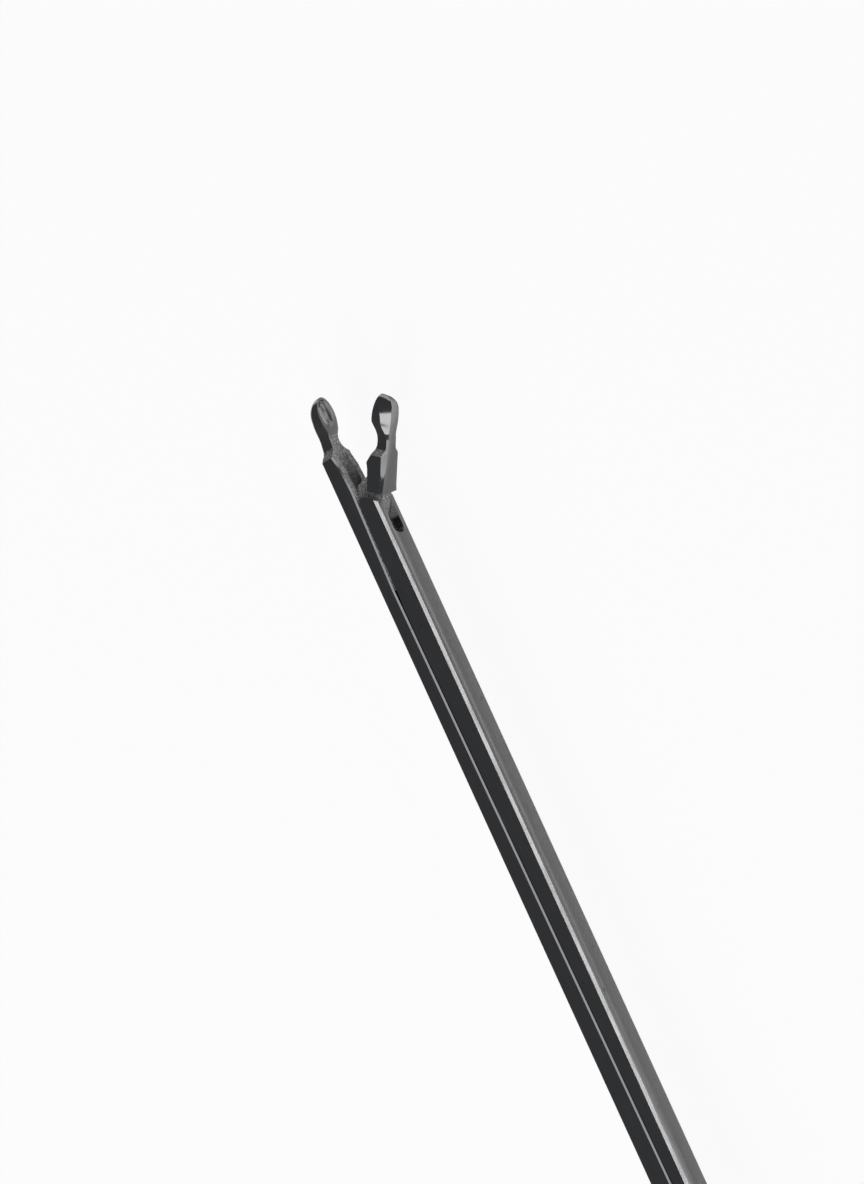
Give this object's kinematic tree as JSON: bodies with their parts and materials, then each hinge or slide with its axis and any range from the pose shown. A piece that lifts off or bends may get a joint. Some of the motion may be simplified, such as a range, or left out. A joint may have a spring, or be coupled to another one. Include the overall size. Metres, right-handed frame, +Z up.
{
  "type": "ear forceps",
  "caption": "Slender cup-jaw ear forceps: one jaw is fixed, the other is opened and closed by a sliding bar and ring handles.",
  "frame": {"origin": "on the handle screw's axis, on the flat side of the handle box that the forceps rest on", "axes": "+X along the shaft from the handle screw to the jaws, +Y from the shaft towards the rings, +Z up, across the flat forceps"},
  "size_m": [0.1557, 0.0833, 0.004],
  "materials": {
    "shaft_steel": "bright polish with faint lines along the shaft; milled faces matte gray",
    "jaw_steel": "bright polish; shoulder, notch and tenon matte gray",
    "handle_steel": "fine satin",
    "pin_steel": "ground flush and polished"
  },
  "bodies": {
    "fixed_frame": {"rear_handle": "handle_steel", "lower_shaft": "shaft_steel", "handle_screw": "pin_steel", "front_guide_stud": "pin_steel", "rear_guide_stud": "pin_steel", "jaw_pivot_pin": "pin_steel", "front_shaft_rivet": "pin_steel", "rear_shaft_rivet": "pin_steel", "opening_stop_pin": "pin_steel"},
    "lever": {"front_handle": "handle_steel"},
    "sliding_bar": {"upper_shaft": "shaft_steel", "drive_pin": "pin_steel", "jaw_link_pin": "pin_steel"},
    "jaw": {"moving_jaw": "jaw_steel"}
  },
  "joints": [
    {"name": "lever_swing", "type": "hinge", "parent": "fixed_frame", "child": "lever", "pos_m": [0, 0, 0.002], "axis": [0, 0, 1], "range_deg": [0, 8.03]},
    {"name": "bar_slide", "type": "slide", "parent": "fixed_frame", "child": "sliding_bar", "axis": [1, 0, 0], "range_m": [0, 0.000673]},
    {"name": "jaw_swing", "type": "hinge", "parent": "fixed_frame", "child": "jaw", "pos_m": [0.0817, -0.0041, 0.002], "axis": [0, 0, 1], "range_deg": [0, 35.6]}
  ],
  "couplings": [
    {"joint": "bar_slide", "follows": "lever_swing", "m_per_rad": 0.0047961},
    {"joint": "jaw_swing", "follows": "lever_swing", "ratio": 4.431}
  ]
}
